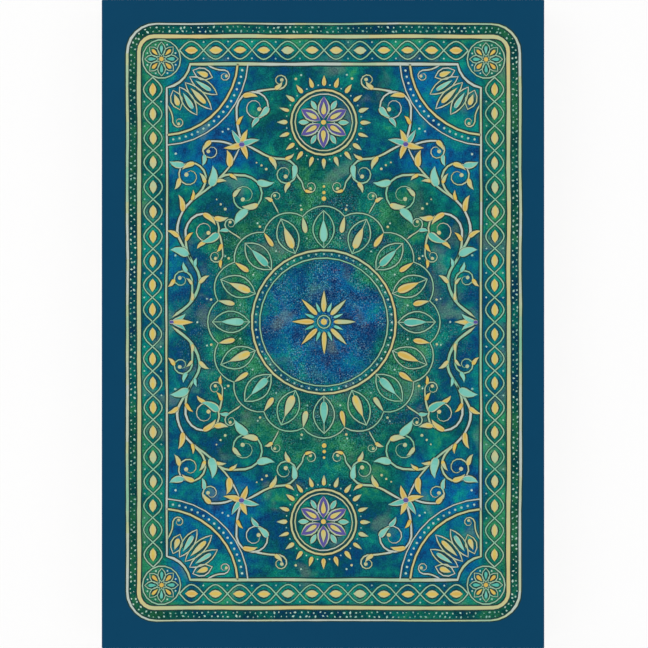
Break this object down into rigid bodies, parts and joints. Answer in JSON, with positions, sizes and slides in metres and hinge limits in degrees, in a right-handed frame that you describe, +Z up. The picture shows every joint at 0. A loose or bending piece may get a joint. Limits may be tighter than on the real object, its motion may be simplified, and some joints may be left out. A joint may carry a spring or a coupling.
{
  "type": "oracle card deck",
  "caption": "Squared deck of large printed oracle cards lying face down. The cards fan about one corner, the deck cuts at the middle and the top card draws off.",
  "frame": {"origin": "on the table under the middle of the deck", "axes": "+Z up, out of the back of the top card; +Y from the foot of the cards to their head; +X across them"},
  "size_m": [0.0956, 0.14, 0.0158],
  "materials": {
    "printed_card": "satin laminate",
    "gilding": "gold ink"
  },
  "bodies": {
    "card_01": {"card_01": "printed_card"},
    "card_02": {"card_02": "printed_card"},
    "card_03": {"card_03": "printed_card"},
    "card_04": {"card_04": "printed_card"},
    "card_05": {"card_05": "printed_card"},
    "card_06": {"card_06": "printed_card"},
    "card_07": {"card_07": "printed_card"},
    "card_08": {"card_08": "printed_card"},
    "card_09": {"card_09": "printed_card"},
    "card_10": {"card_10": "printed_card"},
    "card_11": {"card_11": "printed_card"},
    "card_12": {"card_12": "printed_card"},
    "card_13": {"card_13": "printed_card"},
    "card_14": {"card_14": "printed_card"},
    "card_15": {"card_15": "printed_card"},
    "card_16": {"card_16": "printed_card"},
    "card_17": {"card_17": "printed_card"},
    "card_18": {"card_18": "printed_card"},
    "card_19": {"card_19": "printed_card"},
    "card_20": {"card_20": "printed_card"},
    "card_21": {"card_21": "printed_card"},
    "card_22": {"card_22": "printed_card"},
    "card_23": {"card_23": "printed_card"},
    "card_24": {"card_24": "printed_card"},
    "card_25": {"card_25": "printed_card"},
    "card_26": {"card_26": "printed_card"},
    "card_27": {"card_27": "printed_card"},
    "card_28": {"card_28": "printed_card"},
    "card_29": {"card_29": "printed_card"},
    "card_30": {"card_30": "printed_card"},
    "card_31": {"card_31": "printed_card"},
    "card_32": {"card_32": "printed_card"},
    "card_33": {"card_33": "printed_card"},
    "card_34": {"card_34": "printed_card"},
    "card_35": {"card_35": "printed_card"},
    "card_36": {"card_36": "printed_card"},
    "card_37": {"card_37": "printed_card"},
    "card_38": {"card_38": "printed_card"},
    "card_39": {"card_39": "printed_card"},
    "card_40": {"card_40": "printed_card"},
    "card_41": {"card_41": "printed_card"},
    "card_42": {"card_42": "printed_card"},
    "card_43": {"card_43": "printed_card"},
    "card_44": {"card_44": "printed_card"}
  },
  "joints": [
    {"name": "fan", "type": "hinge", "parent": "card_01", "child": "card_02", "pos_m": [-0.04732, -0.06955, 0], "axis": [0, 0, -1], "range_deg": [0, 2.5]},
    {"name": "fan_03", "type": "hinge", "parent": "card_02", "child": "card_03", "pos_m": [-0.04732, -0.06955, 0], "axis": [0, 0, -1], "range_deg": [0, 3]},
    {"name": "fan_04", "type": "hinge", "parent": "card_03", "child": "card_04", "pos_m": [-0.04732, -0.06955, 0], "axis": [0, 0, -1], "range_deg": [0, 3]},
    {"name": "fan_05", "type": "hinge", "parent": "card_04", "child": "card_05", "pos_m": [-0.04732, -0.06955, 0], "axis": [0, 0, -1], "range_deg": [0, 3]},
    {"name": "fan_06", "type": "hinge", "parent": "card_05", "child": "card_06", "pos_m": [-0.04732, -0.06955, 0], "axis": [0, 0, -1], "range_deg": [0, 3]},
    {"name": "fan_07", "type": "hinge", "parent": "card_06", "child": "card_07", "pos_m": [-0.04732, -0.06955, 0], "axis": [0, 0, -1], "range_deg": [0, 3]},
    {"name": "fan_08", "type": "hinge", "parent": "card_07", "child": "card_08", "pos_m": [-0.04732, -0.06955, 0], "axis": [0, 0, -1], "range_deg": [0, 3]},
    {"name": "fan_09", "type": "hinge", "parent": "card_08", "child": "card_09", "pos_m": [-0.04732, -0.06955, 0], "axis": [0, 0, -1], "range_deg": [0, 3]},
    {"name": "fan_10", "type": "hinge", "parent": "card_09", "child": "card_10", "pos_m": [-0.04732, -0.06955, 0], "axis": [0, 0, -1], "range_deg": [0, 3]},
    {"name": "fan_11", "type": "hinge", "parent": "card_10", "child": "card_11", "pos_m": [-0.04732, -0.06955, 0], "axis": [0, 0, -1], "range_deg": [0, 3]},
    {"name": "fan_12", "type": "hinge", "parent": "card_11", "child": "card_12", "pos_m": [-0.04732, -0.06955, 0], "axis": [0, 0, -1], "range_deg": [0, 3]},
    {"name": "fan_13", "type": "hinge", "parent": "card_12", "child": "card_13", "pos_m": [-0.04732, -0.06955, 0], "axis": [0, 0, -1], "range_deg": [0, 3]},
    {"name": "fan_14", "type": "hinge", "parent": "card_13", "child": "card_14", "pos_m": [-0.04732, -0.06955, 0], "axis": [0, 0, -1], "range_deg": [0, 3]},
    {"name": "fan_15", "type": "hinge", "parent": "card_14", "child": "card_15", "pos_m": [-0.04732, -0.06955, 0], "axis": [0, 0, -1], "range_deg": [0, 3]},
    {"name": "fan_16", "type": "hinge", "parent": "card_15", "child": "card_16", "pos_m": [-0.04732, -0.06955, 0], "axis": [0, 0, -1], "range_deg": [0, 3]},
    {"name": "fan_17", "type": "hinge", "parent": "card_16", "child": "card_17", "pos_m": [-0.04732, -0.06955, 0], "axis": [0, 0, -1], "range_deg": [0, 3]},
    {"name": "fan_18", "type": "hinge", "parent": "card_17", "child": "card_18", "pos_m": [-0.04732, -0.06955, 0], "axis": [0, 0, -1], "range_deg": [0, 3]},
    {"name": "fan_19", "type": "hinge", "parent": "card_18", "child": "card_19", "pos_m": [-0.04732, -0.06955, 0], "axis": [0, 0, -1], "range_deg": [0, 3]},
    {"name": "fan_20", "type": "hinge", "parent": "card_19", "child": "card_20", "pos_m": [-0.04732, -0.06955, 0], "axis": [0, 0, -1], "range_deg": [0, 3]},
    {"name": "fan_21", "type": "hinge", "parent": "card_20", "child": "card_21", "pos_m": [-0.04732, -0.06955, 0], "axis": [0, 0, -1], "range_deg": [0, 3]},
    {"name": "fan_22", "type": "hinge", "parent": "card_21", "child": "card_22", "pos_m": [-0.04732, -0.06955, 0], "axis": [0, 0, -1], "range_deg": [0, 3]},
    {"name": "cut", "type": "slide", "parent": "card_22", "child": "card_23", "axis": [1, 0, 0], "range_m": [0, 0.045]},
    {"name": "fan_24", "type": "hinge", "parent": "card_23", "child": "card_24", "pos_m": [-0.04732, -0.06955, 0], "axis": [0, 0, -1], "range_deg": [0, 3]},
    {"name": "fan_25", "type": "hinge", "parent": "card_24", "child": "card_25", "pos_m": [-0.04732, -0.06955, 0], "axis": [0, 0, -1], "range_deg": [0, 3]},
    {"name": "fan_26", "type": "hinge", "parent": "card_25", "child": "card_26", "pos_m": [-0.04732, -0.06955, 0], "axis": [0, 0, -1], "range_deg": [0, 3]},
    {"name": "fan_27", "type": "hinge", "parent": "card_26", "child": "card_27", "pos_m": [-0.04732, -0.06955, 0], "axis": [0, 0, -1], "range_deg": [0, 3]},
    {"name": "fan_28", "type": "hinge", "parent": "card_27", "child": "card_28", "pos_m": [-0.04732, -0.06955, 0], "axis": [0, 0, -1], "range_deg": [0, 3]},
    {"name": "fan_29", "type": "hinge", "parent": "card_28", "child": "card_29", "pos_m": [-0.04732, -0.06955, 0], "axis": [0, 0, -1], "range_deg": [0, 3]},
    {"name": "fan_30", "type": "hinge", "parent": "card_29", "child": "card_30", "pos_m": [-0.04732, -0.06955, 0], "axis": [0, 0, -1], "range_deg": [0, 3]},
    {"name": "fan_31", "type": "hinge", "parent": "card_30", "child": "card_31", "pos_m": [-0.04732, -0.06955, 0], "axis": [0, 0, -1], "range_deg": [0, 3]},
    {"name": "fan_32", "type": "hinge", "parent": "card_31", "child": "card_32", "pos_m": [-0.04732, -0.06955, 0], "axis": [0, 0, -1], "range_deg": [0, 3]},
    {"name": "fan_33", "type": "hinge", "parent": "card_32", "child": "card_33", "pos_m": [-0.04732, -0.06955, 0], "axis": [0, 0, -1], "range_deg": [0, 3]},
    {"name": "fan_34", "type": "hinge", "parent": "card_33", "child": "card_34", "pos_m": [-0.04732, -0.06955, 0], "axis": [0, 0, -1], "range_deg": [0, 3]},
    {"name": "fan_35", "type": "hinge", "parent": "card_34", "child": "card_35", "pos_m": [-0.04732, -0.06955, 0], "axis": [0, 0, -1], "range_deg": [0, 3]},
    {"name": "fan_36", "type": "hinge", "parent": "card_35", "child": "card_36", "pos_m": [-0.04732, -0.06955, 0], "axis": [0, 0, -1], "range_deg": [0, 3]},
    {"name": "fan_37", "type": "hinge", "parent": "card_36", "child": "card_37", "pos_m": [-0.04732, -0.06955, 0], "axis": [0, 0, -1], "range_deg": [0, 3]},
    {"name": "fan_38", "type": "hinge", "parent": "card_37", "child": "card_38", "pos_m": [-0.04732, -0.06955, 0], "axis": [0, 0, -1], "range_deg": [0, 3]},
    {"name": "fan_39", "type": "hinge", "parent": "card_38", "child": "card_39", "pos_m": [-0.04732, -0.06955, 0], "axis": [0, 0, -1], "range_deg": [0, 3]},
    {"name": "fan_40", "type": "hinge", "parent": "card_39", "child": "card_40", "pos_m": [-0.04732, -0.06955, 0], "axis": [0, 0, -1], "range_deg": [0, 3]},
    {"name": "fan_41", "type": "hinge", "parent": "card_40", "child": "card_41", "pos_m": [-0.04732, -0.06955, 0], "axis": [0, 0, -1], "range_deg": [0, 3]},
    {"name": "fan_42", "type": "hinge", "parent": "card_41", "child": "card_42", "pos_m": [-0.04732, -0.06955, 0], "axis": [0, 0, -1], "range_deg": [0, 3]},
    {"name": "fan_43", "type": "hinge", "parent": "card_42", "child": "card_43", "pos_m": [-0.04732, -0.06955, 0], "axis": [0, 0, -1], "range_deg": [0, 3]},
    {"name": "draw", "type": "slide", "parent": "card_43", "child": "card_44", "axis": [0, 1, 0], "range_m": [0, 0.065]}
  ],
  "couplings": [
    {"joint": "fan_03", "follows": "fan", "ratio": 1},
    {"joint": "fan_04", "follows": "fan", "ratio": 1},
    {"joint": "fan_05", "follows": "fan", "ratio": 1},
    {"joint": "fan_06", "follows": "fan", "ratio": 1},
    {"joint": "fan_07", "follows": "fan", "ratio": 1},
    {"joint": "fan_08", "follows": "fan", "ratio": 1},
    {"joint": "fan_09", "follows": "fan", "ratio": 1},
    {"joint": "fan_10", "follows": "fan", "ratio": 1},
    {"joint": "fan_11", "follows": "fan", "ratio": 1},
    {"joint": "fan_12", "follows": "fan", "ratio": 1},
    {"joint": "fan_13", "follows": "fan", "ratio": 1},
    {"joint": "fan_14", "follows": "fan", "ratio": 1},
    {"joint": "fan_15", "follows": "fan", "ratio": 1},
    {"joint": "fan_16", "follows": "fan", "ratio": 1},
    {"joint": "fan_17", "follows": "fan", "ratio": 1},
    {"joint": "fan_18", "follows": "fan", "ratio": 1},
    {"joint": "fan_19", "follows": "fan", "ratio": 1},
    {"joint": "fan_20", "follows": "fan", "ratio": 1},
    {"joint": "fan_21", "follows": "fan", "ratio": 1},
    {"joint": "fan_22", "follows": "fan", "ratio": 1},
    {"joint": "fan_24", "follows": "fan", "ratio": 1},
    {"joint": "fan_25", "follows": "fan", "ratio": 1},
    {"joint": "fan_26", "follows": "fan", "ratio": 1},
    {"joint": "fan_27", "follows": "fan", "ratio": 1},
    {"joint": "fan_28", "follows": "fan", "ratio": 1},
    {"joint": "fan_29", "follows": "fan", "ratio": 1},
    {"joint": "fan_30", "follows": "fan", "ratio": 1},
    {"joint": "fan_31", "follows": "fan", "ratio": 1},
    {"joint": "fan_32", "follows": "fan", "ratio": 1},
    {"joint": "fan_33", "follows": "fan", "ratio": 1},
    {"joint": "fan_34", "follows": "fan", "ratio": 1},
    {"joint": "fan_35", "follows": "fan", "ratio": 1},
    {"joint": "fan_36", "follows": "fan", "ratio": 1},
    {"joint": "fan_37", "follows": "fan", "ratio": 1},
    {"joint": "fan_38", "follows": "fan", "ratio": 1},
    {"joint": "fan_39", "follows": "fan", "ratio": 1},
    {"joint": "fan_40", "follows": "fan", "ratio": 1},
    {"joint": "fan_41", "follows": "fan", "ratio": 1},
    {"joint": "fan_42", "follows": "fan", "ratio": 1},
    {"joint": "fan_43", "follows": "fan", "ratio": 1}
  ]
}
